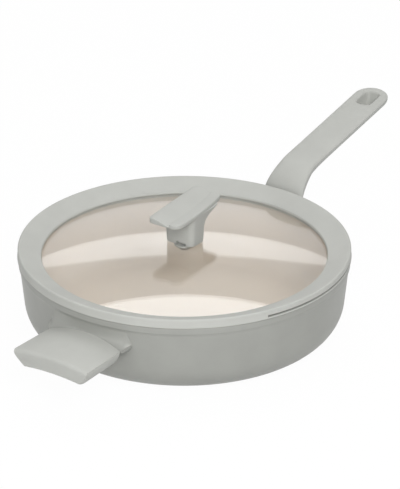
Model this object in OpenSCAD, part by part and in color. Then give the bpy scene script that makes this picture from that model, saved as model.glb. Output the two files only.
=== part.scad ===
// Wide covered saute pan: a forged bowl with a long handle, a helper handle
// on the other side, and a domed glass lid held in a soft ring.
// The origin is the centre of the base, +Z is up and +X runs along the long handle.

/* [Pan bowl] */
// Inside radius of the bowl at its rim
bowl_r = 140.4; // [125:0.2:155]
// Height of the rim's top above the stove
bowl_h = 69; // [62:0.5:85]
// Thickness of the side wall
wall_t = 4; // [3:0.1:5]
// Height of the cooking surface above the stove
floor_h = 5.5; // [5:0.1:8]
// Lean of the wall from upright, in degrees
wall_lean = 5.9; // [3:0.1:8]
// Outside radius of the corner between wall and base
corner_r = 30.5; // [24:0.5:34]
// Height of the raised band round the rim
band_h = 5.4; // [4:0.1:7]
// How far the band stands out from the wall
band_proud = 0.9; // [0.5:0.1:1.5]
// Rounding of the rim's edges
rim_round = 1.2; // [0.6:0.1:1.6]

/* [Base disc] */
// Radius of the steel disc in the base
disc_r = 95; // [80:1:100]
// Thickness of the steel disc
disc_t = 3; // [2:0.1:3.5]
// How far the disc stands below the bowl
disc_proud = 0.4; // [0.2:0.1:0.8]

/* [Lid] */
// Height that the lid's soft ring stands above the rim
ring_h = 8.7; // [7.5:0.1:11]
// How far the ring reaches past the rim's outside
ring_proud = 1; // [0.6:0.1:1.5]
// Width of the ring as seen from above
ring_w = 21.2; // [18:0.2:24]
// How far the ring's top falls from crest to inner edge
ring_fall = 7.6; // [5:0.1:8]
// Rounding of the ring's outer top edge
ring_round = 1.4; // [1:0.1:2.5]
// Depth of the ring's rib inside the bowl
rib_d = 9.5; // [8.5:0.1:12]
// Room between the rib and the bowl's wall
rib_gap = 1; // [0.6:0.1:1.5]
// Thickness of the glass
glass_t = 4; // [3:0.1:4.5]
// Rise of the glass from the ring's inner edge to its middle
glass_rise = 12.9; // [10:0.1:16]
// Height of the ring's inner edge above the glass
glass_step = 1.8; // [1:0.1:2.2]
// Width of the glass edge that the ring holds
glass_grip = 8.8; // [6:0.1:10]
// Height of the lip under each pour slot
lip_h = 1.3; // [1:0.1:1.6]
// Height of each pour slot
pour_h = 2; // [1.4:0.1:2.4]
// Width of each pour slot, in degrees round the rim
pour_angle = 51; // [30:1:70]

/* [Lid knob] */
// Width of the stem along the long handle's direction
stem_x = 21; // [18:0.5:24]
// Width of the stem across that direction
stem_y = 29.6; // [24:0.2:31]
// Length of the knob's top
knob_l = 75; // [64:0.5:86]
// Width of the knob's top
knob_w = 33.2; // [32:0.2:38]
// Height of the knob's ridge above its foot
knob_h = 32.6; // [30:0.1:40]
// Width of the raised bar beside the trough
bar_w = 9.6; // [6:0.1:12]
// Depth of the trough below the bar
trough_d = 2; // [1:0.1:3]
// Radius of the knob screw's shank
knob_screw_r = 2.5; // [2:0.1:3]
// Width of the steam outlet in the knob's foot
steam_w = 10; // [6:0.5:12]
// Height of the steam outlet
steam_h = 3; // [2:0.1:4]

/* [Long handle] */
// Width of the grip
grip_w = 33.8; // [28:0.2:38]
// Thickness of the grip
grip_t = 13.5; // [12:0.5:18]
// Length of the straight grip
grip_l = 98.5; // [85:0.5:140]
// Slope of the grip, in degrees
grip_slope = 10.5; // [5:0.1:15]
// Reach of the neck from the bowl to the start of the grip
neck_l = 63.5; // [56:0.5:80]
// Rise of the neck over that reach
neck_h = 38.9; // [32:0.1:46]
// Width of the handle where it meets the bowl
root_w = 43.8; // [40:0.2:48]
// Height of the handle where it meets the bowl
root_h = 32; // [29:0.5:36]
// How far the neck's edges lie below its middle
neck_crown = 4.5; // [2:0.1:5]
// How far the grip's edges lie below its middle
grip_crown = 2.4; // [1:0.1:3]
// Length of the hanging slot at its top
slot_l = 21.5; // [18:0.5:26]
// Width of the hanging slot at its top
slot_w = 16.4; // [13:0.2:20]
// Share of those that is left at the slot's underside
slot_taper = 0.7; // [0.65:0.05:1]
// Material between the hanging slot and the grip's end
slot_end = 6; // [5:0.1:9]

/* [Helper handle] */
// Width of the helper handle at its outer end
helper_w = 78; // [66:0.5:84]
// Width of the helper handle at the bowl
helper_root_w = 75; // [64:0.5:82]
// Reach of the helper handle from its bracket's corner
helper_l = 49.4; // [40:0.2:60]
// Thickness of the helper handle at its sides
helper_t = 14; // [13.4:0.2:18]
// Rise of the helper handle's middle above its sides at the outer end
helper_crown = 4.2; // [1:0.1:6]
// How much more its middle rises at the bowl
helper_rise = 2.4; // [0:0.1:4]
// Height of the helper handle's side edges above the stove
helper_h = 45.6; // [42:0.2:48]

/* [Screws] */
// Radius of the handle screws
screw_r = 2.5; // [2:0.1:3]
// Radius of the screw heads
head_r = 4.4; // [4:0.1:5]
// Height of the screw heads
head_h = 2.2; // [2:0.1:2.6]
// Thickness of the washers
washer_t = 0.8; // [0.6:0.1:1]

/* [Hidden] */

// Colours of the finishes
body_grey = [0.55, 0.56, 0.53];
grip_grey = [0.67, 0.68, 0.65];
ring_grey = [0.62, 0.63, 0.60];
cream = [0.80, 0.76, 0.69];
steel = [0.75, 0.76, 0.77];
brass = [0.78, 0.66, 0.36];
seal = [0.80, 0.80, 0.78];
glass_tint = [0.80, 0.88, 0.86, 0.35];

// Clearances: flat parts that slide together, round parts that turn, and the resting lid
fit = 0.1;
turn_fit = 0.05;
rest_gap = 0.3;
// Extra length that carries a cut past the face that it opens
over = 1;
smooth = 180;
arc_n = 10;

// Bowl, from its outside in
base_z = disc_proud;
rim_r = bowl_r + wall_t + band_proud;
wall_top_r = rim_r - band_proud;
wall_top_z = bowl_h - band_h;

// Radius of the outside wall at a height
function wall_r(z) = wall_top_r - (wall_top_z - z) * tan(wall_lean);

// Points on a circle about c, from angle a0 to a1
function arc(c, r, a0, a1, n = arc_n) =
    [for (i = [0 : n]) let (a = a0 + (a1 - a0) * i / n) [c[0] + r * cos(a), c[1] + r * sin(a)]];

// Unit vector of v
function unit(v) = v / norm(v);

// A closed outline with each corner rounded to its own radius
function rounded(p, r, n = 6) =
    [for (i = [0 : len(p) - 1])
        let (a = unit(p[(i + len(p) - 1) % len(p)] - p[i]),
             b = unit(p[(i + 1) % len(p)] - p[i]),
             half = acos(a * b) / 2,
             mid = unit(a + b),
             c = p[i] + mid * r[i] / sin(half),
             turn = sign(a[0] * b[1] - a[1] * b[0]),
             start = atan2(-mid[1], -mid[0]) - turn * (half - 90))
        for (k = [0 : n])
            let (t = start + turn * (2 * half - 180) * k / n)
                c + r[i] * [cos(t), sin(t)]];

// A cubic curve through a and d, drawn towards b and c
function cubic(a, b, c, d, t) =
    a * pow(1 - t, 3) + b * 3 * t * pow(1 - t, 2) + c * 3 * t * t * (1 - t) + d * pow(t, 3);

// Outside of the bowl from the flat base up to the band
outer_fillet_c = [wall_r(base_z + corner_r * (1 - sin(wall_lean))) - corner_r * cos(wall_lean),
                  base_z + corner_r];
outer_line = concat(arc(outer_fillet_c, corner_r, -90, -wall_lean),
                    [[wall_top_r, wall_top_z]]);

// Inside of the bowl from the flat floor up to the rim
inner_corner_r = corner_r - wall_t - 2;
inner_lean_x = tan(wall_lean);
inner_top_z = bowl_h - rim_round;
inner_tangent_z = floor_h + inner_corner_r * (1 - sin(wall_lean));
inner_fillet_c = [bowl_r - (inner_top_z - inner_tangent_z) * inner_lean_x
                      - inner_corner_r * cos(wall_lean),
                  floor_h + inner_corner_r];

// Lid heights and radii
ring_z = bowl_h + rest_gap;
crest_z = ring_z + ring_h;
ring_r = rim_r + ring_proud;
ring_in_r = ring_r - ring_w;
ring_in_z = crest_z - ring_fall;
glass_edge_z = ring_in_z - glass_step;
glass_z = glass_edge_z + glass_rise;
glass_r = ring_in_r + glass_grip;
dome_r = (pow(ring_in_r, 2) + pow(glass_rise, 2)) / (2 * glass_rise);
rib_r = bowl_r - rib_gap;
rib_wall = 2.2;
foot_flare = 0.4;
lip_reach = 0.8;
rib_in_r = ring_in_r + 1.8;

// Height of the glass's top at a radius
function dome_z(r) = glass_z - dome_r + sqrt(dome_r * dome_r - r * r);

// Stack of the knob's fixings, from the glass up and down
knob_bore_r = knob_screw_r + 0.7;
gasket_r = 5.6;
gasket_t = 1.2;
lower_seal_r = 9;
foot_z = glass_z + rest_gap;
lower_seal_z = glass_z - glass_t - gasket_t - 0.1;
knob_washer_r = 8;
knob_washer_t = 1;
knob_washer_z = lower_seal_z - knob_washer_t;
knob_head_r = 4.5;
knob_head_h = 3;
insert_r = 4;
insert_z = foot_z + 2;
insert_l = 13;
knob_screw_top = insert_z + insert_l - 2;
vent_r = 1.5;
vent_x = -(gasket_r + vent_r + 0.4);

// Long handle: the root stands on a flat face outside the wall
root_x = wall_top_r + 4.6;
root_z = wall_top_z - 3.6;
grip_start = [root_x + neck_l, root_z + neck_h];
grip_dir = [cos(grip_slope), sin(grip_slope)];
grip_norm = [-sin(grip_slope), cos(grip_slope)];
neck_mid = [root_x + 0.4 * neck_l, root_z + 0.836 * neck_h];
grip_end = grip_start + grip_dir * grip_l;
grip_corner_r = 13.7;
bend_crown = 4;
tip_crown = 1.5;
slot_corner_r = 5;
tongue_angle = 41;
tongue_l = 24;
tongue_w = 18;
tongue_t = 6;
tongue_z = root_z - 7;
tongue_screw = 15;
// Depth from the tongue's middle down to the screw head's seat
seat_depth = tongue_t / 2 + 2.6;

// Knob: its top reaches further over the long handle's side and rises that way
knob_shift = 4.5;
knob_rise = 0.035;
knob_turn = 0.03;
knob_back = knob_shift - knob_l / 2;
knob_front = knob_shift + knob_l / 2;
knob_far = knob_w / 2;
knob_near = -knob_w / 2;
knob_wide_x = -16;
knob_bow_r = 273;
knob_corner_r = 4.5;
bar_top = knob_h - 1.5;
stem_mid_x = 1;
stem_round = 5.5;
stem_straight = 16;
top_t = 6;
tip_t = 3.4;

// Near side of the knob's top, an arc, and its far side, a line
function near_y(x) = knob_near + pow(x - knob_wide_x, 2) / (2 * knob_bow_r);
function far_y(x) = knob_far + knob_turn * x;

// Helper handle: distances outward from the pan's axis along -X
helper_corner_x = wall_r(helper_h) + 4.4;
helper_mid_x = wall_r(helper_h) + 2;
helper_end_x = helper_corner_x + helper_l;
helper_bow = helper_corner_x - helper_mid_x;
helper_bow_r = (pow(helper_root_w / 2, 2) + pow(helper_bow, 2)) / (2 * helper_bow);
helper_draft = 7.5;
helper_arch = 2;
helper_lean = 0.2;
helper_top_r = 3.5;
helper_low_r = 6;
helper_bottom_z = helper_h - helper_t;
helper_tongue_t = 5;
helper_tongue_w = 28;
helper_tongue_x = helper_corner_x + 30;
helper_tongue_z = helper_bottom_z + 8.5;
helper_screw_x = helper_corner_x + 18;
helper_seat_z = helper_tongue_z - 2.5;

// Flare of the helper handle's bracket, and the lug under it
flare_t = 5.6;
flare_step = 0.3;
flare_bend = 7;
flare_drop = 2.6;
flare_side = 9.5;
flare_end = 2.2;
flare_foot = 10;
lug_wall = 3;

// Outline of the space that the bowl's outside takes, for what is shaped to it
module bowl_outside() {
    rotate_extrude($fn = smooth)
        polygon(concat([[0, base_z]], outer_line,
                       [[rim_r, wall_top_z], [rim_r, bowl_h + over], [0, bowl_h + over]]));
}

module pan_body() {
    difference() {
        color(body_grey) rotate_extrude($fn = smooth)
            polygon(concat([[0, base_z]], outer_line, [[rim_r, wall_top_z + 0.3]],
                           arc([rim_r - rim_round, bowl_h - rim_round], rim_round, 0, 90, 4),
                           [[0, bowl_h]]));
        color(cream) rotate_extrude($fn = smooth)
            polygon(concat([[0, floor_h]],
                           arc(inner_fillet_c, inner_corner_r, -90, -wall_lean),
                           [[bowl_r, inner_top_z], [bowl_r + rim_round / 2, bowl_h],
                            [bowl_r + rim_round / 2, bowl_h + over], [0, bowl_h + over]]));
        color(body_grey) translate([0, 0, -over])
            cylinder(r = disc_r + fit, h = over + disc_t, $fn = smooth);
    }
}

module base_disc() {
    color(steel) cylinder(r = disc_r, h = disc_t, $fn = smooth);
}

module lid_glass() {
    color(glass_tint) difference() {
        rotate_extrude($fn = smooth)
            polygon(concat([for (i = [0 : 24]) let (r = glass_r * i / 24) [r, dome_z(r)]],
                           [for (i = [0 : 24]) let (r = glass_r * (1 - i / 24))
                               [r, dome_z(r) - glass_t]]));
        translate([0, 0, glass_z - 2 * glass_t])
            cylinder(r = knob_bore_r, h = 3 * glass_t, $fn = 48);
        translate([vent_x, 0, glass_z - 2 * glass_t])
            cylinder(r = vent_r, h = 3 * glass_t, $fn = 32);
    }
}

// The ring's section: flared foot, outer wall and crest, slope to the inner edge, groove
// round the glass, and the rib that hangs inside the bowl. Two slots let liquid out
// between the foot, which stays whole as a lip, and the crest.
module lid_ring() {
    slot_low = ring_z + lip_h;
    slot_top = slot_low + pour_h;
    wall = ring_r - foot_flare;
    lip_in_r = rib_r + lip_reach;
    held_r = glass_r + fit;
    slope = atan2(ring_fall, ring_w);
    color(ring_grey) difference() {
        rotate_extrude($fn = smooth)
            polygon(concat(
                [[ring_r - foot_flare, ring_z], [ring_r, ring_z + foot_flare], [wall, slot_low]],
                arc([wall - ring_round, crest_z - ring_round], ring_round, 0, 90 + slope, 6),
                [[ring_in_r + 0.9, ring_in_z + 0.1], [ring_in_r + 0.2, ring_in_z - 0.3],
                 [ring_in_r, ring_in_z - 0.9]],
                [for (i = [0 : 4]) let (r = ring_in_r + (held_r - ring_in_r) * i / 4)
                    [r, dome_z(r) + fit]],
                [for (i = [0 : 4]) let (r = held_r - (held_r - rib_in_r) * i / 4)
                    [r, dome_z(r) - glass_t - fit]],
                [[rib_in_r, dome_z(rib_in_r) - glass_t - rib_wall],
                 [rib_r - 1.2, ring_z - rib_d], [rib_r, ring_z - rib_d + 1.2],
                 [rib_r, ring_z]]));
        for (side = [-90, 90])
            rotate([0, 0, side - pour_angle / 2])
                rotate_extrude(angle = pour_angle, $fn = smooth)
                    polygon([[held_r + rib_wall, ring_z - rib_d - over],
                             [lip_in_r, ring_z - rib_d - over], [lip_in_r, slot_low],
                             [ring_r + over, slot_low], [ring_r + over, slot_top],
                             [held_r + rib_wall, slot_top]]);
    }
}

// Outline of the knob's top from above
module knob_plan() {
    offset(r = knob_corner_r, $fn = 32) offset(delta = -knob_corner_r)
        polygon(concat([[knob_back, far_y(knob_back)], [knob_front, far_y(knob_front)]],
                       [for (i = [0 : 10]) let (x = knob_front - knob_l * i / 10) [x, near_y(x)]]));
}

// Points round a rectangle with rounded corners, clockwise from above: x from x0 to x1,
// y from y0 to y1, at height z
function rect_ring(x0, x1, y0, y1, r, z, n = 4) =
    [for (c = [[x1 - r, y1 - r, 90], [x1 - r, y0 + r, 0], [x0 + r, y0 + r, -90], [x0 + r, y1 - r, -180]])
        for (i = [0 : n]) let (a = c[2] - 90 * i / n) [c[0] + r * cos(a), c[1] + r * sin(a), z]];

// A closed solid through rings of points that all have the same count
module loft(rings) {
    n = len(rings[0]);
    m = len(rings);
    polyhedron(
        points = [for (r = rings) each r],
        faces = concat(
            [[for (i = [n - 1 : -1 : 0]) i]],
            [[for (i = [0 : n - 1]) (m - 1) * n + i]],
            [for (k = [0 : m - 2]) for (i = [0 : n - 1]) let (j = (i + 1) % n)
                each [[k * n + i, (k + 1) * n + j, (k + 1) * n + i],
                      [k * n + i, k * n + j, (k + 1) * n + j]]]));
}

// Upright stem that sweeps out under the top, more so towards the long handle
module knob_stem() {
    x0 = stem_mid_x - stem_x / 2;
    x1 = stem_mid_x + stem_x / 2;
    y = stem_y / 2;
    under = knob_h - top_t;
    tip = knob_front + 1;
    wide = knob_w / 2 + 4;
    sweep = [for (i = [1 : 8])
        cubic([x1 + 0.3, stem_straight], [x1 + 0.6, under - 2], [x1 + 9, under],
              [tip, knob_h - tip_t], i / 8)];
    loft(concat(
        [rect_ring(x0, x1, -y, y, stem_round, 0),
         rect_ring(x0 - 0.4, x1 + 0.3, -y - 0.8, y + 0.8, stem_round, stem_straight)],
        [for (p = sweep)
            let (back = p[1] < under - 1 ? x0 - 0.6 : p[1] < under ? x0 - 3 : knob_back - over,
                 side = p[1] < under ? y + 1.2 : wide)
            rect_ring(back, p[0], -side, side, stem_round, p[1])],
        [rect_ring(knob_back - over, tip, -wide, wide, stem_round, knob_h + 5)]));
}

// All that lies under the knob's top face: a raised bar on the near side, a trough
// for a spoon, and a rounded ridge on the far side
module knob_under_top() {
    loft([for (k = [0 : 9])
        let (x = knob_back - over + (knob_l + 2 * over) * k / 9,
             near = near_y(x), far = far_y(x), inner = near + bar_w, low = bar_top - trough_d,
             face = concat(
                 [[near - over, -over], [near - over, bar_top - 1.6], [near + 0.1, bar_top - 1],
                  [near + 0.5, bar_top - 0.3], [near + 1.3, bar_top], [inner - 0.7, bar_top + 0.2],
                  [inner - 0.2, bar_top - 0.2], [inner, low + 0.5]],
                 [for (i = [0 : 7]) cubic([inner + 0.5, low], [inner + 6, low - 0.6],
                                          [far - 12, knob_h - 1.4], [far - 4.5, knob_h - 0.3], i / 7)],
                 [[far - 2.8, knob_h], [far - 1.2, knob_h - 0.3], [far + 0.3, knob_h - 1.4],
                  [far + 2 * over, knob_h - 3], [far + 2 * over, -over]]))
        [for (p = face) [x, p[0], p[1] + (p[1] < 0 ? 0 : knob_rise * x)]]]);
}

module knob() {
    color(grip_grey) translate([0, 0, foot_z]) difference() {
        intersection() {
            linear_extrude(2 * knob_h) knob_plan();
            knob_stem();
            knob_under_top();
        }
        // Seat for the upper gasket
        translate([0, 0, -over])
            cylinder(r = gasket_r + fit, h = over + gasket_t, $fn = 48);
        // Bore for the threaded insert and room for the end of the screw
        translate([0, 0, -over])
            cylinder(r = insert_r + turn_fit, h = over + insert_z - foot_z + insert_l, $fn = 48);
        // Steam outlet towards the helper handle
        translate([stem_mid_x - stem_x / 2 - over, -steam_w + 2, -over])
            cube([stem_x / 2 - stem_mid_x + over - gasket_r - 0.2, steam_w, steam_h + over]);
    }
}

module knob_insert() {
    color(brass) translate([0, 0, insert_z]) difference() {
        cylinder(r = insert_r, h = insert_l, $fn = 48);
        translate([0, 0, -over])
            cylinder(r = knob_screw_r + turn_fit, h = insert_l + 2 * over, $fn = 48);
    }
}

module knob_screw() {
    color(steel) difference() {
        union() {
            translate([0, 0, knob_washer_z - knob_head_h])
                cylinder(r = knob_head_r, h = knob_head_h, $fn = 48);
            translate([0, 0, knob_washer_z - knob_head_h])
                cylinder(r = knob_screw_r, h = knob_screw_top - knob_washer_z + knob_head_h, $fn = 48);
        }
        for (turn = [0, 90])
            rotate([0, 0, turn]) translate([-2.6, -0.5, knob_washer_z - knob_head_h - over])
                cube([5.2, 1, over + 1.6]);
    }
}

// A flat ring with its lower face at z
module flat_ring(r_out, r_in, z, t) {
    translate([0, 0, z]) difference() {
        cylinder(r = r_out, h = t, $fn = 64);
        translate([0, 0, -over]) cylinder(r = r_in, h = t + 2 * over, $fn = 48);
    }
}

module knob_washer() {
    color(steel) flat_ring(knob_washer_r, knob_screw_r + turn_fit, knob_washer_z, knob_washer_t);
}

module knob_gasket_upper() {
    color(seal) flat_ring(gasket_r, knob_screw_r + turn_fit, glass_z, gasket_t);
}

module knob_gasket_lower() {
    color(seal) flat_ring(lower_seal_r, knob_screw_r + turn_fit, lower_seal_z, gasket_t);
}

// Frame of the long handle's tongue: X along the tongue, Z square to it
module tongue_frame() {
    translate([root_x, 0, tongue_z]) rotate([0, -tongue_angle, 0]) children();
}

module long_handle_bracket() {
    color(body_grey) difference() {
        union() {
            difference() {
                rotate([90, 0, 90]) linear_extrude(root_x)
                    polygon([for (p = ring_points(stations[0])) [p[1], p[2]]]);
                bowl_outside();
                translate([-over, -root_w, 0])
                    cube([wall_r(root_z - root_h) / 2, 2 * root_w, bowl_h]);
            }
            tongue_frame() translate([-3, -tongue_w / 2, -tongue_t / 2])
                cube([tongue_l + 3, tongue_w, tongue_t]);
        }
        tongue_frame() translate([tongue_screw, 0, -tongue_t])
            cylinder(r = screw_r + turn_fit, h = 2 * tongue_t, $fn = 48);
    }
}

// The two rails of the long handle in the XZ plane: the crest of its top and its underside
top_root = [root_x, root_z];
bottom_root = [root_x, root_z - root_h];
bottom_mid = neck_mid + [3.5, -19];
bottom_start = grip_start - grip_norm * grip_t;
function top_rail(k, t) =
    k == 0 ? cubic(top_root, top_root + [0, 16.9], neck_mid - [15.5, 7.6], neck_mid, t)
           : cubic(neck_mid, neck_mid + [7.4, 2.6], grip_start - grip_dir * 13, grip_start, t);
function bottom_rail(k, t) =
    k == 0 ? cubic(bottom_root, bottom_root + [5, 13], bottom_mid - [15, 13], bottom_mid, t)
           : cubic(bottom_mid, bottom_mid + [7, 6], bottom_start - grip_dir * 15, bottom_start, t);

// Way up, square to the top rail, and turned upright towards the flat root
function rail_up(k, t) = let (
    d = unit(top_rail(k, t + 0.02) - top_rail(k, t - 0.02)),
    share = k == 0 ? min(1, t / 0.3) : 1)
    unit([0, 1] * (1 - share) + [-d[1], d[0]] * share);

// Stations along the handle: [crest, bottom, way up, half width, crown, squareness above, below]
neck_steps = 10;
bend_steps = 7;
tip_steps = 6;
half_root = root_w / 2;
half_grip = grip_w / 2;
tip_start = grip_l - grip_corner_r;
stations = concat(
    [for (i = [0 : neck_steps]) let (t = i / neck_steps)
        [top_rail(0, t), bottom_rail(0, t), rail_up(0, t),
         half_root + (half_grip - half_root) * t,
         neck_crown + (bend_crown - neck_crown) * t, 2.2, 1.9 - 0.1 * t]],
    [for (i = [1 : bend_steps]) let (t = i / bend_steps)
        [top_rail(1, t), bottom_rail(1, t), rail_up(1, t), half_grip,
         bend_crown + (grip_crown - bend_crown) * t, 2.2 + 0.8 * t, 1.8]],
    [for (i = [0 : tip_steps]) let (a = 90 * i / tip_steps, s = tip_start + grip_corner_r * sin(a))
        [grip_start + grip_dir * s,
         grip_start + grip_dir * (s - 0.5 * (1 - cos(a))) - grip_norm * grip_t * (1 - 0.45 * (1 - cos(a))),
         grip_norm, half_grip - grip_corner_r * (1 - cos(a)),
         grip_crown + (tip_crown - grip_crown) * s / grip_l, 3, 1.8]]);

// Points round one station: a crowned top, then the rounded underside
top_n = 12;
under_n = 18;
function signed_pow(v, e) = sign(v) * pow(abs(v), e);
function ring_points(s) = let (crest = s[0], up = s[2], w = s[3], edge = crest - up * s[4])
    concat(
        [for (i = [0 : top_n]) let (a = 180 * i / top_n,
                                    q = crest - up * s[4] * (1 - pow(sin(a), 2 / s[5])))
            [q[0], w * signed_pow(cos(a), 2 / s[5]), q[1]]],
        [for (i = [1 : under_n - 1]) let (a = 180 * i / under_n,
                                          q = edge + (s[1] - edge) * pow(sin(a), 2 / s[6]))
            [q[0], -w * signed_pow(cos(a), 2 / s[6]), q[1]]]);

module handle_skin() {
    n = top_n + under_n;
    m = len(stations);
    polyhedron(
        points = [for (s = stations) each ring_points(s)],
        faces = concat(
            [[for (i = [0 : n - 1]) i]],
            [[for (i = [n - 1 : -1 : 0]) (m - 1) * n + i]],
            [for (k = [0 : m - 2]) for (i = [0 : n - 1]) let (j = (i + 1) % n)
                each [[k * n + i, (k + 1) * n + i, (k + 1) * n + j],
                      [k * n + i, (k + 1) * n + j, k * n + j]]]));
}

module long_handle() {
    slot_mid = grip_start + grip_dir * (grip_l - slot_end - slot_l / 2);
    // The slot's cut is carried past both faces at the same draft
    carry = (1 - slot_taper) * over / grip_t;
    high = [slot_l, slot_w] * (1 + carry) / 2;
    color(grip_grey) difference() {
        handle_skin();
        // Hanging slot, square to the grip and narrower towards its underside
        translate([slot_mid[0], 0, slot_mid[1]]) rotate([180, -grip_slope, 0])
            translate([0, 0, -over])
                linear_extrude(grip_t + 2 * over, scale = (slot_taper - carry) / (1 + carry))
                    polygon(rounded([[-high[0], -high[1]], [high[0], -high[1]],
                                     [high[0], high[1]], [-high[0], high[1]]],
                                    [for (i = [1 : 4]) slot_corner_r]));
        // Pocket for the bracket's tongue
        tongue_frame() translate([-4, -tongue_w / 2 - fit, -tongue_t / 2 - fit])
            cube([tongue_l + 4 + fit, tongue_w + 2 * fit, tongue_t + 2 * fit]);
        // Hole and seat for the screw, from below
        tongue_frame() translate([tongue_screw, 0, -seat_depth - over])
            cylinder(r = screw_r + fit, h = seat_depth + over, $fn = 48);
        tongue_frame() translate([tongue_screw, 0, -seat_depth - 2 * root_h])
            cylinder(r = head_r + 0.3, h = 2 * root_h, $fn = 48);
    }
}

// A pan-head screw that points up from z = 0, with its head below, and its cross
module cross_screw(l) {
    difference() {
        union() {
            translate([0, 0, -head_h]) cylinder(r = head_r, h = head_h, $fn = 48);
            translate([0, 0, -head_h]) cylinder(r = screw_r, h = head_h + l, $fn = 48);
        }
        for (turn = [0, 90])
            rotate([0, 0, turn]) translate([-2.4, -0.5, -head_h - over])
                cube([4.8, 1, over + 1.3]);
    }
}

module long_handle_screw() {
    color(steel) tongue_frame() translate([tongue_screw, 0, -seat_depth - washer_t])
        cross_screw(seat_depth + washer_t + tongue_t / 2 - 0.5);
}

module long_handle_washer() {
    color(steel) tongue_frame() translate([tongue_screw, 0, 0])
        flat_ring(head_r, screw_r + turn_fit, -seat_depth - washer_t, washer_t);
}

// Space on the outer side of the arc that the helper handle's back follows
module helper_back(grow = 0) {
    translate([-helper_mid_x - helper_bow_r, 0, 0])
        cylinder(r = helper_bow_r + grow, h = 2 * helper_h, $fn = smooth);
}

// Points round the helper handle, a share t of the way out, with corners drawn in:
// arched top, sides that curve in, arched underside, and an end face that leans
function helper_ring(t, top_in, low_in, back = helper_mid_x - 2 * over) = let (
    half = helper_root_w / 2 + (helper_w - helper_root_w) / 2 * t,
    low = half - helper_draft,
    rise = helper_crown + helper_rise * (1 - t),
    top = [for (i = [0 : 12]) let (y = (half - top_in) * (1 - i / 6))
        [y, helper_h + rise * (1 - pow(y / half, 2))]],
    side = [for (i = [1 : 5]) cubic([half - top_in, helper_h], [half - top_in - 0.4, helper_h - 6],
                                    [low - low_in + 3, helper_bottom_z + 3],
                                    [low - low_in, helper_bottom_z], i / 5)],
    under = [for (i = [1 : 7]) let (y = (low - low_in) * (i / 4 - 1))
        [y, helper_bottom_z + helper_arch * (1 - pow(y / low, 2))]],
    ring = concat(top, [for (p = side) [-p[0], p[1]]], under, [for (i = [4 : -1 : 0]) side[i]]))
    [for (p = ring) let (out = helper_end_x - helper_lean * (helper_h - p[1]))
        [-back - (out - back) * t, p[0], p[1]]];

module helper_handle() {
    round_share = (helper_top_r + helper_low_r) / 2 / (helper_l + helper_bow + 2 * over);
    color(grip_grey) difference() {
        intersection() {
            loft(concat(
                [for (i = [0 : 3]) helper_ring((1 - round_share) * i / 4, 0, 0)],
                [for (i = [0 : 5]) let (a = 18 * i)
                    helper_ring(1 - round_share * (1 - sin(a)), helper_top_r * (1 - cos(a)),
                                helper_low_r * (1 - cos(a)))]));
            helper_back();
        }
        // Pocket for the bracket's tongue
        translate([-helper_tongue_x - fit, -helper_tongue_w / 2 - fit, helper_tongue_z - fit])
            cube([helper_tongue_x, helper_tongue_w + 2 * fit, helper_tongue_t + 2 * fit]);
        // Hole and seat for the screw, from below
        translate([-helper_screw_x, 0, 0])
            cylinder(r = screw_r + fit, h = helper_tongue_z, $fn = 48);
        translate([-helper_screw_x, 0, 0])
            cylinder(r = head_r + 0.3, h = helper_seat_z, $fn = 48);
    }
}

// Cast flare behind the helper handle, with a lug and the tongue inside the grip
module helper_bracket() {
    top_z = wall_top_z - flare_drop;
    half = helper_root_w / 2;
    reach = norm([helper_corner_x, half]) + over;
    open = 22;
    wide = half + flare_side;
    narrow = half + flare_end;
    low_z = helper_h - flare_foot;
    wall_x = wall_r(helper_h);
    edge_z = helper_h - flare_step;
    lug = helper_tongue_w / 2 + lug_wall;
    inside = wall_r(0) - corner_r;
    color(body_grey) difference() {
        union() {
            intersection() {
                rotate([0, 0, 180 - open]) rotate_extrude(angle = 2 * open, $fn = smooth)
                    polygon(concat(
                        [[inside, helper_h - flare_t], [wall_x, helper_h - flare_t / 2],
                         [reach, edge_z - flare_t], [reach, edge_z]],
                        [for (i = [1 : 8])
                            cubic([reach, edge_z], [wall_x + flare_bend / 2, helper_h + flare_step],
                                  [wall_r(top_z) + flare_step, helper_h + flare_bend],
                                  [wall_r(top_z), top_z], i / 8)],
                        [[inside, top_z]]));
                // Narrower towards the top
                translate([0, 0, low_z]) linear_extrude(bowl_h - low_z, scale = [1, 0.8])
                    polygon([[0, -wide], [-wall_x + flare_t, -wide], [-helper_corner_x, -narrow],
                             [-reach, -narrow], [-reach, narrow], [-helper_corner_x, narrow],
                             [-wall_x + flare_t, wide], [0, wide]]);
            }
            translate([-helper_corner_x, -lug, helper_tongue_z - lug_wall])
                cube([helper_corner_x - inside, 2 * lug, helper_tongue_t + 2 * lug_wall]);
        }
        bowl_outside();
        helper_back(fit);
    }
    color(body_grey) difference() {
        translate([-helper_tongue_x, -helper_tongue_w / 2, helper_tongue_z])
            cube([helper_tongue_x - helper_mid_x + over, helper_tongue_w, helper_tongue_t]);
        translate([-helper_screw_x, 0, 0])
            cylinder(r = screw_r + turn_fit, h = helper_h, $fn = 48);
    }
}

module helper_screw() {
    color(steel) translate([-helper_screw_x, 0, helper_seat_z - washer_t])
        cross_screw(helper_tongue_z + helper_tongue_t - helper_seat_z + washer_t - 0.5);
}

module helper_washer() {
    color(steel) translate([-helper_screw_x, 0, 0])
        flat_ring(head_r, screw_r + turn_fit, helper_seat_z - washer_t, washer_t);
}

pan_body();
base_disc();
long_handle_bracket();
long_handle();
long_handle_screw();
long_handle_washer();
helper_bracket();
helper_handle();
helper_screw();
helper_washer();
lid_glass();
lid_ring();
knob();
knob_insert();
knob_screw();
knob_washer();
knob_gasket_upper();
knob_gasket_lower();
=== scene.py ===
import bmesh
import bpy
import numpy as np
from mathutils import Matrix, Vector


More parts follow.
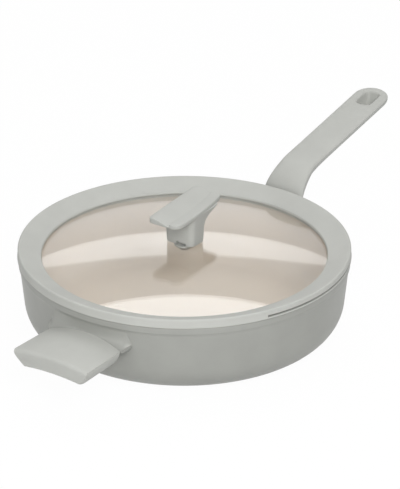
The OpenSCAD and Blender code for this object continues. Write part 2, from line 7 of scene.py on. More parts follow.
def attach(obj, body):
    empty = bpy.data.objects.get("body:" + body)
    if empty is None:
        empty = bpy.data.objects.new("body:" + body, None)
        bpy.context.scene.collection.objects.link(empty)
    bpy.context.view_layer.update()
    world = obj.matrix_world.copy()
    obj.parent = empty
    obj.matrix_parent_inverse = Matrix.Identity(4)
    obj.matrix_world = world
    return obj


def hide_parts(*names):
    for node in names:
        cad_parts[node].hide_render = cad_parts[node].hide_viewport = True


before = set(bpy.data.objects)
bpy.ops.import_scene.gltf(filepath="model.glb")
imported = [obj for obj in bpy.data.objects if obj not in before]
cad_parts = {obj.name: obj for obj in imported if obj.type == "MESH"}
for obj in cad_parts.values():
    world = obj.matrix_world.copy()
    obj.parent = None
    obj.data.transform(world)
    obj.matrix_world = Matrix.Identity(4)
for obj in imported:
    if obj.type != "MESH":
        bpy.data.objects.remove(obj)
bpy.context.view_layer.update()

# Camera: a long lens, 26 degrees above level, that sees the helper handle in front on
# the left and the long handle behind on the right.
FOCAL_PIXELS, FRAME_PIXELS, SENSOR = 4001.8, 489, 36
DISTANCE, LID_CREST = 3.5, 0.078
climb, pan_right = np.radians(25.70), np.radians(0.247)
away, right = Vector((0.8141, 0.5807, 0)), Vector((0.5807, -0.8141, 0))
up = Vector((0, 0, 1))
gaze = (away * np.cos(pan_right) + right * np.sin(pan_right)) * np.cos(climb) - up * np.sin(climb)
lens = bpy.data.cameras.new("camera")
lens.sensor_width = SENSOR
lens.lens = FOCAL_PIXELS * SENSOR / FRAME_PIXELS
camera = bpy.data.objects.new("camera", lens)
bpy.context.collection.objects.link(camera)
camera.location = up * LID_CREST - DISTANCE * (away * np.cos(climb) - up * np.sin(climb))
camera.rotation_mode = "QUATERNION"
camera.rotation_quaternion = gaze.to_track_quat("-Z", "Y")
bpy.context.scene.camera = camera

# Studio: a white floor that keeps a faint shadow, a white surround, three soft lamps
# in front and above, and two behind that shine in the glass.
# What the camera, mirrors and glass see of the surround is white; the lamps do the lighting.


def srgb(*shade):
    """Linear colour of a shade given in 0 to 255 screen steps, with alpha 1."""
    c = np.array(shade, float) / 255
    return tuple(np.where(c <= 0.04045, c / 12.92, ((c + 0.055) / 1.055) ** 2.4)) + (1,)


def seen_white(nodes, links):
    """1 for rays from the camera, from mirrors and through glass, otherwise 0, and 0 for all
    light that has been scattered by a surface on its way, as inside the bowl."""
    path = nodes.new("ShaderNodeLightPath")
    total = None
    for ray in ("Is Camera Ray", "Is Glossy Ray", "Is Transmission Ray"):
        if total is None:
            total = path.outputs[ray]
            continue
        either = nodes.new("ShaderNodeMath")
        either.operation = "MAXIMUM"
        links.new(total, either.inputs[0])
        links.new(path.outputs[ray], either.inputs[1])
        total = either.outputs[0]
    direct, seen = nodes.new("ShaderNodeMath"), nodes.new("ShaderNodeMath")
    direct.operation, seen.operation = "LESS_THAN", "MULTIPLY"
    direct.inputs[1].default_value = 0.5
    links.new(path.outputs["Diffuse Depth"], direct.inputs[0])
    links.new(total, seen.inputs[0])
    links.new(direct.outputs[0], seen.inputs[1])
    return seen.outputs[0]


def studio_world(light):
    world = bpy.data.worlds.new("surround")
    bpy.context.scene.world = world
    world.use_nodes = True
    nodes, links = world.node_tree.nodes, world.node_tree.links
    nodes.clear()
    out = nodes.new("ShaderNodeOutputWorld")
    mix = nodes.new("ShaderNodeMixShader")
    dim, white = nodes.new("ShaderNodeBackground"), nodes.new("ShaderNodeBackground")
    dim.inputs["Color"].default_value = (1, 1, 1, 1)
    dim.inputs["Strength"].default_value = light
    white.inputs["Color"].default_value = (1, 1, 1, 1)
    links.new(seen_white(nodes, links), mix.inputs[0])
    links.new(dim.outputs[0], mix.inputs[1])
    links.new(white.outputs[0], mix.inputs[2])
    links.new(mix.outputs[0], out.inputs["Surface"])


def studio_floor(reach, shadow_share):
    mesh = bpy.data.meshes.new("floor")
    mesh.from_pydata([(-reach, -reach, 0), (reach, -reach, 0), (reach, reach, 0), (-reach, reach, 0)],
                     [], [(0, 1, 2, 3)])
    floor = bpy.data.objects.new("floor", mesh)
    bpy.context.collection.objects.link(floor)
    paper = bpy.data.materials.new("floor_paper")
    paper.use_nodes = True
    nodes, links = paper.node_tree.nodes, paper.node_tree.links
    nodes.clear()
    out = nodes.new("ShaderNodeOutputMaterial")
    lit, glow = nodes.new("ShaderNodeBsdfDiffuse"), nodes.new("ShaderNodeEmission")
    lit.inputs["Color"].default_value = (0.85, 0.85, 0.85, 1)
    glow.inputs["Color"].default_value = (1, 1, 1, 1)
    glow.inputs["Strength"].default_value = 1.005
    share = nodes.new("ShaderNodeMath")
    share.operation = "MULTIPLY"
    share.inputs[1].default_value = 1 - shadow_share
    links.new(seen_white(nodes, links), share.inputs[0])
    mix = nodes.new("ShaderNodeMixShader")
    links.new(share.outputs[0], mix.inputs[0])
    links.new(lit.outputs[0], mix.inputs[1])
    links.new(glow.outputs[0], mix.inputs[2])
    links.new(mix.outputs[0], out.inputs["Surface"])
    mesh.materials.append(paper)


def soft_lamp(name, azimuth, height, distance, width, tall, power):
    """An oval lamp that faces the pan from an azimuth and a height in degrees."""
    lamp = bpy.data.lights.new(name, "AREA")
    lamp.shape, lamp.size, lamp.size_y, lamp.energy = "ELLIPSE", width, tall, power
    holder = bpy.data.objects.new(name, lamp)
    bpy.context.collection.objects.link(holder)
    a, h = np.radians(azimuth), np.radians(height)
    place = Vector((np.cos(a) * np.cos(h), np.sin(a) * np.cos(h), np.sin(h)))
    holder.location = place * distance + up * 0.05
    holder.rotation_mode = "QUATERNION"
    holder.rotation_quaternion = (-place).to_track_quat("-Z", "Y")


studio_world(light=0.25)
studio_floor(reach=6, shadow_share=0.03)
soft_lamp("key_lamp", -130, 39, 1.9, 1.0, 1.0, 22)
soft_lamp("side_lamp", 170, 14, 1.45, 0.8, 0.8, 3.6)
soft_lamp("top_lamp", 20, 78, 1.9, 1.2, 1.2, 6)
soft_lamp("back_lamp", 33, 55, 2.0, 1.8, 0.65, 7.5)
soft_lamp("strip_lamp", 36, 27, 2.0, 1.2, 0.34, 1.05)
bpy.context.scene.view_settings.view_transform = "Standard"

# Bowl: one forged and turned aluminium dish. Satin grey enamel outside; inside a cream
# ceramic coating that wraps over the rim down to the grey band.
MM = 0.001
BOWL_R, BOWL_H, WALL_T, FLOOR_H, LEAN = 140.4, 69.0, 4.0, 5.5, np.radians(5.9)
CORNER_R, BAND_H, BAND_PROUD, RIM_ROUND = 30.5, 5.4, 0.9, 1.2
DISC_R, DISC_T, DISC_PROUD = 95.0, 3.0, 0.4
WALL_TOP_R, WALL_TOP_Z = BOWL_R + WALL_T, BOWL_H - BAND_H
RIM_R = WALL_TOP_R + BAND_PROUD
COATING_EDGE_Z = 68.6


def wall_r(z):
    """Radius of the bowl's outer wall at height z: a straight line that leans outwards."""
    return WALL_TOP_R - (WALL_TOP_Z - z) * np.tan(LEAN)


def cubic(a, b, c, d, t):
    """Points at t on the curve from a to d that is drawn towards b and c."""
    t = np.asarray(t)[:, None]
    return a * (1 - t) ** 3 + b * 3 * t * (1 - t) ** 2 + c * 3 * t * t * (1 - t) + d * t ** 3


def rounded_path(corners, steps=8):
    """A line through corners (x, z, radius), each corner replaced by an arc of its radius."""
    points = np.array([c[:2] for c in corners], float)
    path = [points[:1]]
    for i in range(1, len(corners) - 1):
        here, radius = points[i], corners[i][2]
        back, ahead = points[i - 1] - here, points[i + 1] - here
        back, ahead = back / np.linalg.norm(back), ahead / np.linalg.norm(ahead)
        half = np.arccos(np.clip(back @ ahead, -1, 1)) / 2
        if radius <= 0 or half > 1.56:
            path.append(here[None])
            continue
        middle = (back + ahead) / np.linalg.norm(back + ahead)
        centre = here + middle * radius / np.sin(half)
        first, last = (here + side * radius / np.tan(half) - centre for side in (back, ahead))
        a0, a1 = np.arctan2(first[1], first[0]), np.arctan2(last[1], last[0])
        turn = (a1 - a0 + np.pi) % (2 * np.pi) - np.pi
        angle = a0 + turn * np.linspace(0, 1, steps)
        path.append(centre + radius * np.stack([np.cos(angle), np.sin(angle)], 1))
    path.append(points[-1:])
    return np.concatenate(path)


def spread(path, step):
    """The same line with extra points so that no stretch is longer than step."""
    pieces = []
    for a, b in zip(path[:-1], path[1:]):
        n = max(1, int(np.ceil(np.linalg.norm(b - a) / step)))
        pieces.append(a + (b - a) * np.arange(n)[:, None] / n)
    return np.concatenate(pieces + [path[-1:]])


def turned(profile, steps=256):
    """Grid of a turned shape: each profile point (r, z) carried round the Z axis."""
    angle = np.arange(steps) * 2 * np.pi / steps
    r, z = profile[:, :1], profile[:, 1:]
    return np.stack([r * np.cos(angle), r * np.sin(angle), z + 0 * angle], 2)


def make_piece(name, grids, materials, second=None):
    """Object from grids of points in mm. A grid is (points, rows_close, columns_close, caps):
    its quads join neighbours, rows and columns close on themselves where asked, and caps
    shuts the first and last row with one face. second is the row from which on the faces
    take the second material."""
    places, faces, start = [], [], 0
    for points, rows_close, columns_close, caps in grids:
        rows, columns = points.shape[:2]
        index = start + np.arange(rows * columns).reshape(rows, columns)
        if rows_close:
            index = np.concatenate([index, index[:1]])
        if columns_close:
            index = np.concatenate([index, index[:, :1]], 1)
        quads = np.stack([index[:-1, :-1], index[:-1, 1:], index[1:, 1:], index[1:, :-1]], 2)
        faces += quads.reshape(-1, 4).tolist()
        if caps:
            faces += [index[0, :columns][::-1].tolist(), index[-1, :columns].tolist()]
        places.append(points.reshape(-1, 3))
        start += rows * columns
    mesh = bpy.data.meshes.new(name)
    mesh.from_pydata((np.concatenate(places) * MM).tolist(), [], faces)
    for material in materials:
        mesh.materials.append(material)
    if second is not None:
        takes_second = np.arange(len(faces)) >= second * columns
        mesh.polygons.foreach_set("material_index", takes_second.astype(int))
    work = bmesh.new()
    work.from_mesh(mesh)
    bmesh.ops.remove_doubles(work, verts=work.verts, dist=1e-6)
    bmesh.ops.recalc_face_normals(work, faces=work.faces)
    for face in work.faces:
        face.smooth = True
    work.to_mesh(mesh)
    work.free()
    piece = bpy.data.objects.new(name, mesh)
    bpy.context.collection.objects.link(piece)
    return piece


def crease(piece, degrees):
    """Marks edges sharper than that angle, so that shading breaks there."""
    piece.data.set_sharp_from_angle(angle=np.radians(degrees))


def moulded(name, colour, rough, grain, depth, mottle=0.03, metallic=0.0):
    """Opaque finish: colour that varies a little over the surface, roughness that varies
    with it, and a fine grain in the bump. grain is its size and depth its height, in mm."""
    material = bpy.data.materials.new(name)
    material.use_nodes = True
    nodes, links = material.node_tree.nodes, material.node_tree.links
    shader = nodes["Principled BSDF"]
    shader.inputs["Metallic"].default_value = metallic
    where = nodes.new("ShaderNodeTexCoord")
    cloud = nodes.new("ShaderNodeTexNoise")
    cloud.inputs["Scale"].default_value = 38
    cloud.inputs["Detail"].default_value = 4
    links.new(where.outputs["Object"], cloud.inputs["Vector"])
    tone = nodes.new("ShaderNodeValToRGB")
    shades = np.array(colour[:3])
    tone.color_ramp.elements[0].position, tone.color_ramp.elements[1].position = 0.3, 0.7
    tone.color_ramp.elements[0].color = tuple(shades * (1 - mottle)) + (1,)
    tone.color_ramp.elements[1].color = tuple(np.minimum(shades * (1 + mottle), 1)) + (1,)
    links.new(cloud.outputs["Fac"], tone.inputs[0])
    links.new(tone.outputs[0], shader.inputs["Base Color"])
    speck = nodes.new("ShaderNodeTexNoise")
    speck.inputs["Scale"].default_value = 1 / (grain * MM)
    speck.inputs["Detail"].default_value = 3
    links.new(where.outputs["Object"], speck.inputs["Vector"])
    gloss = nodes.new("ShaderNodeMapRange")
    gloss.inputs["From Min"].default_value, gloss.inputs["From Max"].default_value = 0.3, 0.7
    gloss.inputs["To Min"].default_value = rough * 0.92
    gloss.inputs["To Max"].default_value = min(1, rough * 1.08)
    links.new(speck.outputs["Fac"], gloss.inputs["Value"])
    links.new(gloss.outputs[0], shader.inputs["Roughness"])
    bump = nodes.new("ShaderNodeBump")
    bump.inputs["Strength"].default_value = 0.5
    bump.inputs["Distance"].default_value = depth * MM
    links.new(speck.outputs["Fac"], bump.inputs["Height"])
    links.new(bump.outputs[0], shader.inputs["Normal"])
    return material


enamel = moulded("satin_enamel", srgb(159, 160, 155), 0.45, 0.5, 0.012, metallic=0.12)
enamel.node_tree.nodes["Principled BSDF"].inputs["Specular IOR Level"].default_value = 0.35
coating = moulded("cream_ceramic", srgb(219, 206, 191), 0.22, 1.2, 0.02, mottle=0.015)
COVE_Z = 56.5
cove = cubic(np.array([wall_r(COVE_Z), COVE_Z]), np.array([wall_r(COVE_Z + 3.2), COVE_Z + 3.2]),
             np.array([RIM_R - 1.5, 61.3]), np.array([RIM_R, 63.4]), np.linspace(0, 1, 9))
bowl_line = spread(rounded_path([
    (0, DISC_T, 0), (DISC_R + 0.1, DISC_T, 0), (DISC_R + 0.1, DISC_PROUD, 0.4),
    (wall_r(DISC_PROUD), DISC_PROUD, CORNER_R)] + [(r, z, 0) for r, z in cove[:-1]]
    + [(RIM_R, 63.4, 0.3), (RIM_R, BOWL_H, RIM_ROUND), (BOWL_R - 0.1, BOWL_H, RIM_ROUND),
       (BOWL_R - (BOWL_H - FLOOR_H) * np.tan(LEAN), FLOOR_H, CORNER_R - WALL_T - 2),
       (0, FLOOR_H, 0)], steps=14), 4)
coated_from = int(np.argmax(bowl_line[:, 1] > COATING_EDGE_Z))
pan_bowl = make_piece("pan_bowl", [(turned(bowl_line), False, True, False)], [enamel, coating],
                      coated_from)
crease(pan_bowl, 35)
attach(pan_bowl, "pan")
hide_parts("pan_body")

# Base disc: bright steel, pressed into the aluminium so that the pan works on induction.
# Its face is turned in fine circles.


def circled_steel(name, colour, rough, pitch):
    """Steel turned in fine circles round the pan's axis: rings of pitch mm in the bump."""
    material = moulded(name, colour, rough, 0.4, 0.01, metallic=1.0)
    nodes, links = material.node_tree.nodes, material.node_tree.links
    rings = nodes.new("ShaderNodeTexWave")
    rings.wave_type, rings.rings_direction = "RINGS", "Z"
    rings.inputs["Scale"].default_value = 0.314 / (pitch * MM)
    rings.inputs["Distortion"].default_value = 0.4
    where = next(n for n in nodes if n.bl_idname == "ShaderNodeTexCoord")
    bump = next(n for n in nodes if n.bl_idname == "ShaderNodeBump")
    links.new(where.outputs["Object"], rings.inputs["Vector"])
    links.new(rings.outputs["Fac"], bump.inputs["Height"])
    return material


def refinish(node, material):
    """Gives a CAD node another material in every slot."""
    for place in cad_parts[node].material_slots:
        place.material = material


refinish("base_disc", circled_steel("turned_steel", srgb(200, 200, 198), 0.3, 2.5))

# Long handle's bracket: cast aluminium, welded to the wall, enamelled with the bowl.
# Its tongue runs up inside the handle, where a screw from below holds it.
refinish("long_handle_bracket", enamel)

# Long handle: one moulding in matt soft-touch plastic. A broad neck sweeps up from the
# bowl into a slim grip with a flat top, a rounded belly and a hanging slot at its end.
ROOT_X, ROOT_Z, ROOT_H, HALF_ROOT = 149.0, 60.0, 32.0, 21.9
NECK_L, NECK_H, GRIP_L, GRIP_T, HALF_GRIP = 63.5, 38.9, 98.5, 13.5, 16.9
SLOPE, END_R = np.radians(10.5), 13.7
NECK_CROWN, BEND_CROWN, GRIP_CROWN, TIP_CROWN = 4.5, 4.0, 2.4, 1.5
SLOT_L, SLOT_W, SLOT_END, SLOT_R, SLOT_TAPER, SLOT_TIGHT = 23.0, 16.6, 5.8, 5.0, 0.6, 0.5
GRIP = np.array([ROOT_X + NECK_L, ROOT_Z + NECK_H])
ALONG, ACROSS = np.array([np.cos(SLOPE), np.sin(SLOPE)]), np.array([-np.sin(SLOPE), np.cos(SLOPE)])
BEND = np.array([ROOT_X + 0.4 * NECK_L, ROOT_Z + 0.836 * NECK_H])
BEND_LOW = BEND + (3.5, -19)
GRIP_LOW = GRIP - ACROSS * GRIP_T
ROOT_TOP, ROOT_LOW = np.array([ROOT_X, ROOT_Z]), np.array([ROOT_X, ROOT_Z - ROOT_H])
TONGUE_SLOPE, TONGUE_Z, SCREW_AT = np.radians(41), ROOT_Z - 7, 15.0
SHANK_ROOM_R, HEAD_ROOM_R = 2.6, 4.7


def handle_stations(neck=30, bend=20, straight=16, tip=18):
    """Crest and bottom points, way up, half width, crown and squareness above and below, at
    stations along the handle: two curves for the neck, a straight grip, and a tip rounded
    with END_R seen from above. The way up is square to the crest, upright at the root."""
    t = np.linspace(0, 1, neck, endpoint=False)
    top = [cubic(ROOT_TOP, ROOT_TOP + (0, 16.9), BEND - (15.5, 7.6), BEND, t)]
    low = [cubic(ROOT_LOW, ROOT_LOW + (5, 13), BEND_LOW - (15, 13), BEND_LOW, t)]
    share = [np.minimum(1, t / 0.3)]
    half = [HALF_ROOT + (HALF_GRIP - HALF_ROOT) * t]
    crown = [NECK_CROWN + (BEND_CROWN - NECK_CROWN) * t]
    above, below = [2.2 + 0 * t], [1.9 - 0.1 * t]
    t = np.linspace(0, 1, bend, endpoint=False)
    top.append(cubic(BEND, BEND + (7.4, 2.6), GRIP - ALONG * 13, GRIP, t))
    low.append(cubic(BEND_LOW, BEND_LOW + (7, 6), GRIP_LOW - ALONG * 15, GRIP_LOW, t))
    half.append(HALF_GRIP + 0 * t)
    crown.append(BEND_CROWN + (GRIP_CROWN - BEND_CROWN) * t)
    above.append(2.2 + 0.8 * t)
    s = np.linspace(0, GRIP_L - END_R, straight, endpoint=False)
    a = np.linspace(0, np.pi / 2, tip)
    s, a = np.concatenate([s, GRIP_L - END_R + END_R * np.sin(a)]), np.concatenate([0 * s, a])
    thin = 1 - np.cos(a)
    top.append(GRIP + ALONG * s[:, None])
    low.append(GRIP + ALONG * (s - 0.5 * thin)[:, None]
               - ACROSS * (GRIP_T * (1 - 0.45 * thin))[:, None])
    half.append(HALF_GRIP - END_R * thin)
    crown.append(GRIP_CROWN + (TIP_CROWN - GRIP_CROWN) * s / GRIP_L)
    above.append(3 + 0 * s)
    below.append(1.8 + 0 * np.concatenate([t, s]))
    share.append(1 + 0 * np.concatenate([t, s]))
    top, low, half, crown = map(np.concatenate, (top, low, half, crown))
    above, below, share = map(np.concatenate, (above, below, share))
    step = np.gradient(top, axis=0)
    normal = np.stack([-step[:, 1], step[:, 0]], 1) / np.linalg.norm(step, axis=1)[:, None]
    upward = normal * share[:, None] + np.array([0, 1]) * (1 - share)[:, None]
    return top, low, upward / np.linalg.norm(upward, axis=1)[:, None], half, crown, above, below


def handle_grid(across=30, under=40):
    """The handle's skin. At each station the top falls from its crest to the edges by the
    crown, and the underside goes from edge to edge round the bottom; both follow a
    super-ellipse, |y|^n + |d|^n = 1, of the station's squareness."""
    top, low, upward, *rest = handle_stations()
    half, crown, above, below = (x[:, None] for x in rest)
    a = np.pi * np.arange(across + 1) / across
    y_top = np.sign(np.cos(a)) * np.abs(np.cos(a)) ** (2 / above)
    fall = crown * (1 - np.abs(np.sin(a)) ** (2 / above))
    face = top[:, None] - upward[:, None] * fall[..., None]
    a = np.pi * np.arange(1, under) / under
    y_low = -np.sign(np.cos(a)) * np.abs(np.cos(a)) ** (2 / below)
    edge = (top - upward * crown)[:, None]
    belly = edge + (low[:, None] - edge) * (np.sin(a) ** (2 / below))[..., None]
    y, place = np.concatenate([y_top, y_low], 1), np.concatenate([face, belly], 1)
    return np.stack([place[..., 0], half * y, place[..., 1]], 2)


def quarter(distance, radius):
    """How far an edge rounded with that radius has dropped at a distance inside the edge."""
    d = np.clip(distance, 0, radius)
    return radius - np.sqrt(radius ** 2 - (radius - d) ** 2)


def tilted(points, slope, origin):
    """Points turned up about Y by slope, then moved to origin (x, z)."""
    x, z = points[..., 0], points[..., 2]
    return np.stack([origin[0] + x * np.cos(slope) - z * np.sin(slope), points[..., 1],
                     origin[1] + x * np.sin(slope) + z * np.cos(slope)], -1)


def bar_grid(outline, low, high):
    """An upright bar of that outline between two heights."""
    heights = np.array([low, high], float)[:, None]
    return np.stack([outline[:, 0] + 0 * heights, outline[:, 1] + 0 * heights,
                     heights + 0 * outline[:, 0]], 2)


def circle(radius, steps=48):
    angle = np.arange(steps) * 2 * np.pi / steps
    return radius * np.stack([np.cos(angle), np.sin(angle)], 1)


def oblong(length, width, radius):
    """Closed outline of a rectangle with rounded corners about the origin."""
    x, y = length / 2, width / 2
    corners = [(x, -y, radius), (x, y, radius), (-x, y, radius), (-x, -y, radius)]
    return rounded_path([(0, -y, 0)] + corners + [(0, -y, 0)], 10)[:-1]


def carve(piece, grid, how="DIFFERENCE"):
    """Cuts the closed shape of grid out of piece, or joins it on, and keeps the result."""
    tool = make_piece("tool", [(grid, False, True, True)], [])
    knife = piece.modifiers.new("cut", "BOOLEAN")
    knife.operation, knife.object, knife.solver = how, tool, "MANIFOLD"
    result = bpy.data.meshes.new_from_object(
        piece.evaluated_get(bpy.context.evaluated_depsgraph_get()))
    piece.modifiers.clear()
    result.name = piece.name
    piece.data = result
    bpy.data.objects.remove(tool)


def slot_grid(lip=1.6):
    """The hanging slot's room, as outlines from below its underside up past its lip: it
    narrows by SLOT_TAPER through the grip, and a quarter circle rounds its upper edge."""
    rounding = lip * (1 - np.sin(np.linspace(0, np.pi / 2, 9)))
    depth = np.concatenate([[GRIP_T + 3, GRIP_T / 2], rounding, [-2]])
    layers = []
    for d in depth:
        taper = 1 - (1 - SLOT_TAPER) * d / GRIP_T
        wider = quarter(max(d, 0), lip) - SLOT_TIGHT
        outline = oblong(SLOT_L * taper + 2 * wider, SLOT_W * taper + 2 * wider,
                         SLOT_R * taper + wider)
        layers.append(np.column_stack([outline, np.full(len(outline), -d)]))
    return np.stack(layers)


soft_touch = moulded("soft_touch_grey", srgb(184, 185, 180), 0.62, 0.35, 0.02)
handle_long = make_piece("handle_long", [(handle_grid(), False, True, True)], [soft_touch])
slot_middle = GRIP + ALONG * (GRIP_L - SLOT_END - SLOT_L / 2)
carve(handle_long, tilted(slot_grid(), SLOPE, slot_middle))
tongue_origin = (ROOT_X, TONGUE_Z)
tongue_room = oblong(28.2, 18.2, 0.3) + (10.1, 0)
carve(handle_long, tilted(bar_grid(tongue_room, -3.1, 3.1), TONGUE_SLOPE, tongue_origin))
for radius, low, high in ((SHANK_ROOM_R, -6.6, -2), (HEAD_ROOM_R, -70, -5.6)):
    carve(handle_long, tilted(bar_grid(circle(radius) + (SCREW_AT, 0), low, high), TONGUE_SLOPE,
                              tongue_origin))
crease(handle_long, 38)
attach(handle_long, "pan")
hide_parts("long_handle")

# Handle screws and washers: bright zinc-plated steel with a cross recess.
bright_steel = moulded("plated_steel", srgb(205, 205, 203), 0.28, 0.3, 0.01, metallic=1.0)
for fixing in ("long_handle_screw", "long_handle_washer", "helper_screw", "helper_washer"):
    refinish(fixing, bright_steel)

# Helper handle: the same soft-touch moulding, a broad crowned tab with drawn-in sides.
HELPER_W, HELPER_ROOT_W, HELPER_L, HELPER_T, HELPER_H = 78.0, 75.0, 49.4, 14.0, 45.6
CROWN, CROWN_MORE, DRAFT, ARCH, END_LEAN = 4.2, 2.4, 7.5, 2.0, 0.2
EDGE_TOP_R, EDGE_LOW_R, TOP_CORNER_R, LOW_CORNER_R = 3.5, 6.0, 1.4, 3.0
HELPER_CORNER = wall_r(HELPER_H) + 4.4
HELPER_BACK = wall_r(HELPER_H) + 2.0
HELPER_END = HELPER_CORNER + HELPER_L
HELPER_LOW = HELPER_H - HELPER_T
HELPER_BOW = HELPER_CORNER - HELPER_BACK
HELPER_BOW_R = ((HELPER_ROOT_W / 2) ** 2 + HELPER_BOW ** 2) / (2 * HELPER_BOW)


def helper_back(y):
    """Distance of the helper handle's hollow back from the pan's axis, measured along X."""
    return HELPER_BACK + HELPER_BOW_R - np.sqrt(HELPER_BOW_R ** 2 - y ** 2)


def helper_grid():
    """The helper handle's skin. A station runs round it: top crowned as a parabola, side a
    curve that draws in, underside arched as a parabola. Stations run from an arc that
    follows the bracket out to the end face, where both edges round off as quarter circles."""
    reach = HELPER_L + HELPER_BOW
    start = np.linspace(0, 1 - EDGE_LOW_R / reach, 22, endpoint=False)
    a = np.linspace(0, np.pi / 2, 12)
    turn = np.concatenate([0 * start, 1 - np.cos(a)])[:, None]
    ahead = np.concatenate([0 * start, np.sin(a)])[:, None]
    straight = np.concatenate([start, 1 - EDGE_LOW_R / reach + 0 * a])[:, None]
    share = straight + ahead * EDGE_LOW_R / reach
    half = HELPER_ROOT_W / 2 + (HELPER_W - HELPER_ROOT_W) / 2 * share
    rise = CROWN + CROWN_MORE * (1 - share)
    top_half, low_half = half - TOP_CORNER_R * turn, half - DRAFT - LOW_CORNER_R * turn
    drop = EDGE_TOP_R * (1 - np.sqrt(1 - np.clip(1 - (1 - share) * reach / EDGE_TOP_R, 0, 1) ** 2))
    t = np.linspace(-1, 1, 41)
    top = np.stack([-top_half * t, HELPER_H + rise * (1 - (top_half * t / half) ** 2) - drop], 2)
    b = np.linspace(0, 1, 15)[1:-1]

    def side(sign):
        y = (top_half * (1 - b) ** 3 + (top_half - 0.4) * 3 * b * (1 - b) ** 2
             + (low_half + 3) * 3 * b * b * (1 - b) + low_half * b ** 3)
        z = ((HELPER_H - drop) * (1 - b) ** 3 + (HELPER_H - 6) * 3 * b * (1 - b) ** 2
             + (HELPER_LOW + 3) * 3 * b * b * (1 - b) + HELPER_LOW * b ** 3) + 0 * half
        return np.stack([sign * y, z], 2)

    low = np.stack([low_half * t, HELPER_LOW + ARCH * (1 - t * t) + 0 * half], 2)
    loop = np.concatenate([top, side(-1), low, side(1)[:, ::-1]], 1)
    y, z = loop[..., 0], loop[..., 1]
    back = helper_back(np.minimum(abs(y), HELPER_ROOT_W / 2))
    end = HELPER_END - END_LEAN * (HELPER_H - z)
    return np.stack([-(back + (end - back) * share), y, z], 2)


handle_helper = make_piece("handle_helper", [(helper_grid(), False, True, True)], [soft_touch])
TAB_Z, TAB_T, TAB_W, TAB_REACH, TAB_SCREW, TAB_FIT = HELPER_LOW + 8.5, 5.0, 28.0, 30.0, 18.0, 0.1
room_l = TAB_REACH + 20
tab_room = oblong(room_l, TAB_W + 2 * TAB_FIT, 0.3)
tab_room -= (HELPER_CORNER + TAB_REACH + TAB_FIT - room_l / 2, 0)
carve(handle_helper, bar_grid(tab_room, TAB_Z - TAB_FIT, TAB_Z + TAB_T + TAB_FIT))
for radius, high in ((SHANK_ROOM_R, TAB_Z + 0.5), (HEAD_ROOM_R, TAB_Z - 2.5)):
    carve(handle_helper, bar_grid(circle(radius) - (HELPER_CORNER + TAB_SCREW, 0), 0, high))
crease(handle_helper, 38)
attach(handle_helper, "pan")
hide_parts("helper_handle")

# Helper handle's bracket: a cast flare, enamelled with the bowl, that sweeps from under
# the rim's band down to the helper handle and ends in the tongue inside it.
FLARE_TOP, FLARE_SIDE, FLARE_TIP_Z, FLARE_EDGE, FLARE_SUNK, LUG_IN_R = 60.5, 5.0, 49.5, 1.4, 2.5, 138.0


def flare_grid(stations=73):
    """The flare as upright sections along Y. Each is a loop: down the wall in a hollow curve
    to the edge behind the handle, back under, and up inside the wall. Past the handle's
    corner the edge returns to the wall as a quarter ellipse."""
    corner = HELPER_ROOT_W / 2
    y = (corner + FLARE_SIDE) * np.sin(np.linspace(-np.pi / 2, np.pi / 2, stations))[:, None]
    past = np.clip((abs(y) - corner) / FLARE_SIDE, 0, 1)
    inner = np.minimum(abs(y), corner)
    edge_z = np.where(past > 0, HELPER_H - 0.4 + (FLARE_TIP_Z - HELPER_H) * past ** 2,
                      HELPER_H - 0.4 + (CROWN + CROWN_MORE) * (1 - (inner / corner) ** 2))
    top_z = edge_z + 0.2 + (FLARE_TOP - edge_z) * (1 - past ** 1.6)

    def wall_x(z):
        return np.sqrt(wall_r(z) ** 2 - y * y)

    reach = HELPER_CORNER - np.sqrt(wall_r(HELPER_H) ** 2 - corner ** 2)
    back = helper_back(inner)
    edge_x = np.where(past > 0, wall_x(edge_z) + reach * np.sqrt(1 - past ** 2), back) - 0.1
    t = np.linspace(0, 1, 15)
    foot_x, climb_z = wall_x(edge_z), top_z - edge_z
    ends = (wall_x(top_z) - 0.1, foot_x * 0.8 + edge_x * 0.2, (foot_x + edge_x) / 2, edge_x)
    heights = (top_z, edge_z + climb_z * 0.45, edge_z + climb_z * 0.05, edge_z)
    weights = ((1 - t) ** 3, 3 * t * (1 - t) ** 2, 3 * t * t * (1 - t), t ** 3)
    x = sum(w * e for w, e in zip(weights, ends))
    z = sum(w * h for w, h in zip(weights, heights))
    low = edge_z - 0.4 - FLARE_EDGE * np.sqrt(1 - past ** 2)
    x = np.concatenate([x, edge_x - 0.2, edge_x - 0.8, wall_x(low) - 1, wall_x(low) - FLARE_SUNK,
                        wall_x(top_z) - FLARE_SUNK], 1)
    z = np.concatenate([z, edge_z - 0.4, low, low - 2, low - 2, top_z - 0.5], 1)
    return np.stack([-x, y + 0 * x, z], 2)


flare = make_piece("helper_flare", [(flare_grid(), False, True, True)], [enamel])
lug = oblong(HELPER_BACK - LUG_IN_R, TAB_W + 6, 0.4) - ((HELPER_BACK + LUG_IN_R) / 2, 0)
carve(flare, bar_grid(lug, TAB_Z - 3, TAB_Z + TAB_T + 3), "UNION")
tab = oblong(TAB_REACH + 6, TAB_W, 0.4) - (HELPER_CORNER + TAB_REACH - (TAB_REACH + 6) / 2, 0)
carve(flare, bar_grid(tab, TAB_Z, TAB_Z + TAB_T), "UNION")
carve(flare, bar_grid(circle(2.55) - (HELPER_CORNER + TAB_SCREW, 0), TAB_Z - 1, TAB_Z + TAB_T + 1))
crease(flare, 38)
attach(flare, "pan")
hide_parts("helper_bracket")

